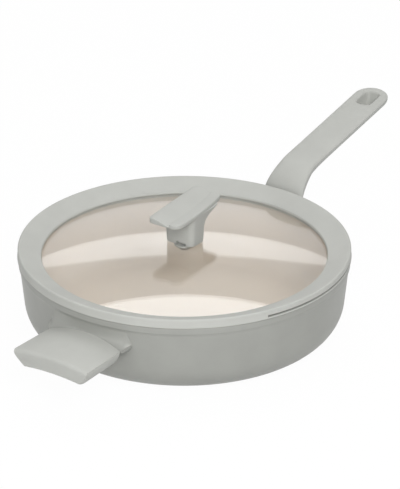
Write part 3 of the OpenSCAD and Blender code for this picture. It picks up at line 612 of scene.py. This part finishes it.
# Lid glass: clear domed tempered glass. Its edge is held inside the soft ring.
RING_Z, RING_H, RING_PROUD, RING_W, RING_FALL, RING_ROUND = BOWL_H + 0.3, 8.7, 1.0, 21.2, 7.6, 1.4
RIB_D, RIB_GAP, GLASS_T, GLASS_RISE, GLASS_STEP, GLASS_GRIP = 9.5, 1.0, 4.0, 12.9, 1.8, 8.8
CREST_Z, RING_R = RING_Z + RING_H, RIM_R + RING_PROUD
RING_IN_R, RING_IN_Z = RING_R - RING_W, CREST_Z - RING_FALL
GLASS_R, GLASS_Z = RING_IN_R + GLASS_GRIP, RING_IN_Z - GLASS_STEP + GLASS_RISE
DOME_R = (RING_IN_R ** 2 + GLASS_RISE ** 2) / (2 * GLASS_RISE)
BORE_R, LAMP_SHARE = 3.2, 0.55


def dome_z(r):
    """Height of the glass's top at radius r: a sphere of radius DOME_R."""
    return GLASS_Z - DOME_R + np.sqrt(DOME_R ** 2 - r * r)


def clear_glass():
    """Clear glass with a faint green tint. It lets a share of the lamplight straight
    through, so that the bowl's inside is lit without noise."""
    material = bpy.data.materials.new("clear_glass")
    material.use_nodes = True
    nodes, links = material.node_tree.nodes, material.node_tree.links
    shader = nodes["Principled BSDF"]
    shader.inputs["Base Color"].default_value = (0.97, 0.98, 0.975, 1)
    shader.inputs["Transmission Weight"].default_value = 1
    shader.inputs["IOR"].default_value = 1.5
    where = nodes.new("ShaderNodeTexCoord")
    smear = nodes.new("ShaderNodeTexNoise")
    smear.inputs["Scale"].default_value = 9
    links.new(where.outputs["Object"], smear.inputs["Vector"])
    haze = nodes.new("ShaderNodeMapRange")
    haze.inputs["To Min"].default_value, haze.inputs["To Max"].default_value = 0.0, 0.05
    links.new(smear.outputs["Fac"], haze.inputs["Value"])
    links.new(haze.outputs[0], shader.inputs["Roughness"])
    path, clear = nodes.new("ShaderNodeLightPath"), nodes.new("ShaderNodeBsdfTransparent")
    clear.inputs["Color"].default_value = (LAMP_SHARE, LAMP_SHARE, LAMP_SHARE, 1)
    mix = nodes.new("ShaderNodeMixShader")
    links.new(path.outputs["Is Shadow Ray"], mix.inputs[0])
    links.new(shader.outputs[0], mix.inputs[1])
    links.new(clear.outputs[0], mix.inputs[2])
    links.new(mix.outputs[0], nodes["Material Output"].inputs["Surface"])
    return material


r_out = np.linspace(BORE_R + 0.3, GLASS_R - 0.8, 60)
glass_line = np.concatenate([
    np.stack([r_out, dome_z(r_out)], 1),
    [[GLASS_R, dome_z(GLASS_R) - 0.8], [GLASS_R, dome_z(GLASS_R) - GLASS_T + 0.8]],
    np.stack([r_out[::-1], dome_z(r_out[::-1]) - GLASS_T], 1),
    [[BORE_R, GLASS_Z - GLASS_T + 0.3], [BORE_R, GLASS_Z - 0.3]]])
pane = make_piece("lid_pane", [(turned(glass_line), True, True, False)], [clear_glass()])
crease(pane, 30)
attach(pane, "lid")
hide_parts("lid_glass")

# Lid ring: matt silicone moulded round the glass. Its crest stands on the rim, its rib
# hangs inside the bowl, and a slot over a narrow lip on each side lets the pan pour with
# the lid on.
RIB_R, RIB_WALL, RIB_IN_R, RING_FIT = BOWL_R - RIB_GAP, 2.2, RING_IN_R + 1.8, 0.1
LIP_H, POUR_H, POUR_HALF, FOOT_FLARE, LIP_REACH = 1.3, 2.0, np.radians(25.5), 0.4, 0.8
HELD_R, SLOT_LOW = GLASS_R + RING_FIT, RING_Z + LIP_H


def ring_section():
    """The ring's closed section (r, z): foot, outer wall and crest, slope, groove, rib."""
    grip = np.linspace(RING_IN_R, HELD_R, 9)
    return np.concatenate([
        spread(rounded_path([
            (RIB_R, RING_Z, 0), (RING_R - FOOT_FLARE, RING_Z, 0.15),
            (RING_R, RING_Z + FOOT_FLARE, 0.15), (RING_R - FOOT_FLARE, SLOT_LOW, 0.5),
            (RING_R - FOOT_FLARE, CREST_Z, RING_ROUND), (RING_IN_R + 0.6, RING_IN_Z + 0.25, 0.8),
            (RING_IN_R, RING_IN_Z - 1.1, 0.3), (RING_IN_R, dome_z(RING_IN_R) + RING_FIT, 0)], 8), 1.2),
        np.stack([grip, dome_z(grip) + RING_FIT], 1)[1:],
        np.stack([grip[::-1], dome_z(grip[::-1]) - GLASS_T - RING_FIT], 1)[:-3],
        spread(rounded_path([
            (RIB_IN_R, dome_z(RIB_IN_R) - GLASS_T - RING_FIT, 0),
            (RIB_IN_R, dome_z(RIB_IN_R) - GLASS_T - RIB_WALL, 0.6),
            (RIB_R - 0.8, RING_Z - RIB_D, 0.8), (RIB_R, RING_Z - RIB_D + 1, 0.8),
            (RIB_R, RING_Z - 0.01, 0)], 6), 1.2)])


def pour_room(side, steps=72):
    """The room that one pour slot cuts: an upright leg through the rib and a level leg out
    over the lip, carried round Z over the slot's width."""
    room = np.array([(HELD_R + RIB_WALL, RING_Z - RIB_D - 1), (RIB_R + LIP_REACH, RING_Z - RIB_D - 1),
                     (RIB_R + LIP_REACH, SLOT_LOW), (RING_R + 1, SLOT_LOW),
                     (RING_R + 1, SLOT_LOW + POUR_H), (HELD_R + RIB_WALL, SLOT_LOW + POUR_H)])
    angle = (side * np.pi / 2 + np.linspace(-POUR_HALF, POUR_HALF, steps))[:, None]
    return np.stack([room[:, 0] * np.cos(angle), room[:, 0] * np.sin(angle), room[:, 1] + 0 * angle], 2)


silicone = moulded("matt_silicone", srgb(187, 188, 183), 0.7, 0.4, 0.015)
ring = make_piece("lid_silicone_ring", [(turned(ring_section(), 360), True, True, False)], [silicone])
for side in (-1, 1):
    carve(ring, pour_room(side))
crease(ring, 40)
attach(ring, "lid")
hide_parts("lid_ring")

# Knob: one moulding in the handles' plastic. A block stem carries a long top with a
# raised bar on the near side and a trough that holds a spoon; the stem has a steam outlet.
FOOT_Z, KNOB_L, KNOB_W, KNOB_H, KNOB_SHIFT = GLASS_Z + 0.3, 75.0, 33.2, 32.6, 4.5
KNOB_RISE, KNOB_TURN, WIDE_X, BOW_R = 0.035, 0.03, -16.0, 273.0
KNOB_CORNER, KNOB_BACK_CORNER = 4.5, 8.0
BAR_W, TROUGH_D, BAR_TOP = 9.6, 2.1, 31.1
NEAR_ROUND, UNDER_ROUND, RIDGE_W, RIDGE_DROP, STEP_BACK, STEP_W = 1.3, 0.6, 4.0, 1.6, 0.5, 0.7
UNDER_Z, TIP_RISE, SWEEP_X, TIP_BELLY = 26.2, 2.6, 14.0, 0.4
BACK_X, FRONT_X = KNOB_SHIFT - KNOB_L / 2, KNOB_SHIFT + KNOB_L / 2


def near_y(x):
    """Near side of the knob's top, an arc that swells towards the middle."""
    return -KNOB_W / 2 + (x - WIDE_X) ** 2 / (2 * BOW_R)


def far_y(x):
    """Far side of the knob's top, a straight line."""
    return KNOB_W / 2 + KNOB_TURN * x


def knob_top_z(x, y):
    """Height of the top face: flat bar, a short step down, a trough that climbs as a smooth
    curve to the ridge on the far side, and the whole rising towards the long handle."""
    inner = near_y(x) + BAR_W
    climb_share = np.clip((y - inner - 1) / (far_y(x) - 3.2 - inner - 1), 0, 1)
    climb_height = (KNOB_H - BAR_TOP + TROUGH_D) * climb_share ** 1.5 * (2.5 - 1.5 * climb_share)
    trough = BAR_TOP - TROUGH_D + climb_height
    step = np.clip((y - inner + STEP_BACK) / STEP_W, 0, 1)
    step = step * step * (3 - 2 * step)
    return BAR_TOP * (1 - step) + trough * step + KNOB_RISE * x


def tip_share(x):
    """0 over the stem, rising to 1 at the tip on the long handle's side."""
    return np.clip((x - SWEEP_X) / (FRONT_X - SWEEP_X), 0, 1)


def knob_under_z(x):
    """Height of the top's underside: level over the stem, rising in a curve to the tip."""
    return UNDER_Z + TIP_RISE * tip_share(x) ** 1.6


def knob_top_grid(stations=72):
    """The knob's top as stations along X. Each is a loop: the top face from near to far side,
    down the far edge, back under, and up the near edge, drawn in at corners and rounded."""
    s = (1 - np.cos(np.linspace(0, np.pi, stations))) / 2
    x = (BACK_X + KNOB_L * s)[:, None]
    from_end = np.minimum(x - BACK_X, FRONT_X - x)
    near = near_y(x) + np.where(x < KNOB_SHIFT, quarter(from_end, KNOB_BACK_CORNER),
                                quarter(from_end, KNOB_CORNER))
    far = far_y(x) - quarter(from_end, KNOB_CORNER)
    inner = near_y(x) + BAR_W
    t = np.linspace(0, 1, 17)
    bar_from = near + NEAR_ROUND
    bar = np.concatenate([bar_from - NEAR_ROUND * np.sin(np.linspace(np.pi / 2, 0, 7)),
                          bar_from + (inner - 0.6 - bar_from) * t[2::2]], 1)
    step = inner - STEP_BACK + STEP_W * t[1:-1:2]
    rise = inner + STEP_W + (far - RIDGE_W - inner - STEP_W) * t
    ridge = far - RIDGE_W + RIDGE_W * np.sin(np.linspace(0, np.pi / 2, 12))[1:]
    y = np.concatenate([bar, step, rise, ridge], 1)
    end_drop = quarter(from_end, UNDER_ROUND)
    z = (knob_top_z(x, y) - quarter(y - near, NEAR_ROUND)
         - RIDGE_DROP / RIDGE_W * quarter(far - y, RIDGE_W) - end_drop)
    belly = TIP_BELLY * tip_share(x)
    turn = UNDER_ROUND * (1 - np.sin(np.linspace(0, np.pi / 2, 6)))
    low_y = np.concatenate([far - turn[::-1],
                            far - UNDER_ROUND + (near - far + 2 * UNDER_ROUND) * t[1:-1:2],
                            near + turn], 1)
    low_z = (knob_under_z(x) + quarter(np.minimum(low_y - near, far - low_y), UNDER_ROUND)
             + end_drop - belly * (1 - ((2 * low_y - near - far) / (far - near)) ** 2))
    y, z = np.concatenate([y, low_y], 1), np.concatenate([z, low_z], 1)
    return np.stack([x + 0 * y, y, z + FOOT_Z], 2)


def knob_stem_grid():
    """The stem as level rings: a rounded rectangle that widens a little on the way up, and
    on the long handle's side sweeps out in a curve under the top."""
    corner = 5.5
    height = np.concatenate([[0, 0.3, 0.8], np.linspace(2, 14, 9), np.linspace(15, 28.4, 24)])
    sweep_x = np.interp(height, [0, 12, 16, 20, 23.1, 25.6, 28.5],
                        [11.3, 11.5, 11.8, 13.2, 17, 23, 31.5])
    back_x = 9.5 + 0.6 * height / 28
    side = 14.6 + 1.3 * np.clip(height / 20, 0, 1)
    tuck = 0.5 * (1 - np.sqrt(1 - np.clip(1 - height / 0.8, 0, 1) ** 2))
    a = np.linspace(0, np.pi / 2, 9)
    turn = np.stack([np.cos(a), np.sin(a)])
    loops = []
    for sx, sy, flip in ((1, 1, False), (-1, 1, True), (-1, -1, False), (1, -1, True)):
        cx = np.where(sx > 0, sweep_x, back_x) - corner - tuck
        cy = side - corner - tuck
        c, s = (turn[:, ::-1] if flip else turn)
        loops.append(np.stack([sx * (cx[:, None] + corner * c), sy * (cy[:, None] + corner * s),
                               FOOT_Z + height[:, None] + 0 * c], 2))
    return np.concatenate(loops, 1)


knob = make_piece("knob_moulding", [(knob_top_grid(), False, True, True)], [soft_touch])
carve(knob, knob_stem_grid(), "UNION")
carve(knob, bar_grid(circle(5.7), FOOT_Z - 1, FOOT_Z + 0.6))
carve(knob, bar_grid(circle(4.05), FOOT_Z - 1, FOOT_Z + 15))
VENT_L, VENT_W, VENT_H = 10.0, 10.0, 3.0
vent = oblong(VENT_L, VENT_W, 0.4) + (-11.2, 2 - VENT_W / 2)
carve(knob, bar_grid(vent, FOOT_Z - 1, FOOT_Z + VENT_H))
crease(knob, 38)
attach(knob, "lid")
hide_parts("knob")

# Knob's fixings: a brass insert moulded into the stem, a steel screw and washer under the
# glass, and a silicone washer on each face of the glass.
refinish("knob_insert", moulded("turned_brass", srgb(214, 180, 106), 0.3, 0.3, 0.01, metallic=1.0))
for fixing in ("knob_screw", "knob_washer"):
    refinish(fixing, bright_steel)
seal = moulded("seal_silicone", srgb(205, 206, 202), 0.6, 0.4, 0.01)
for washer in ("knob_gasket_upper", "knob_gasket_lower"):
    refinish(washer, seal)
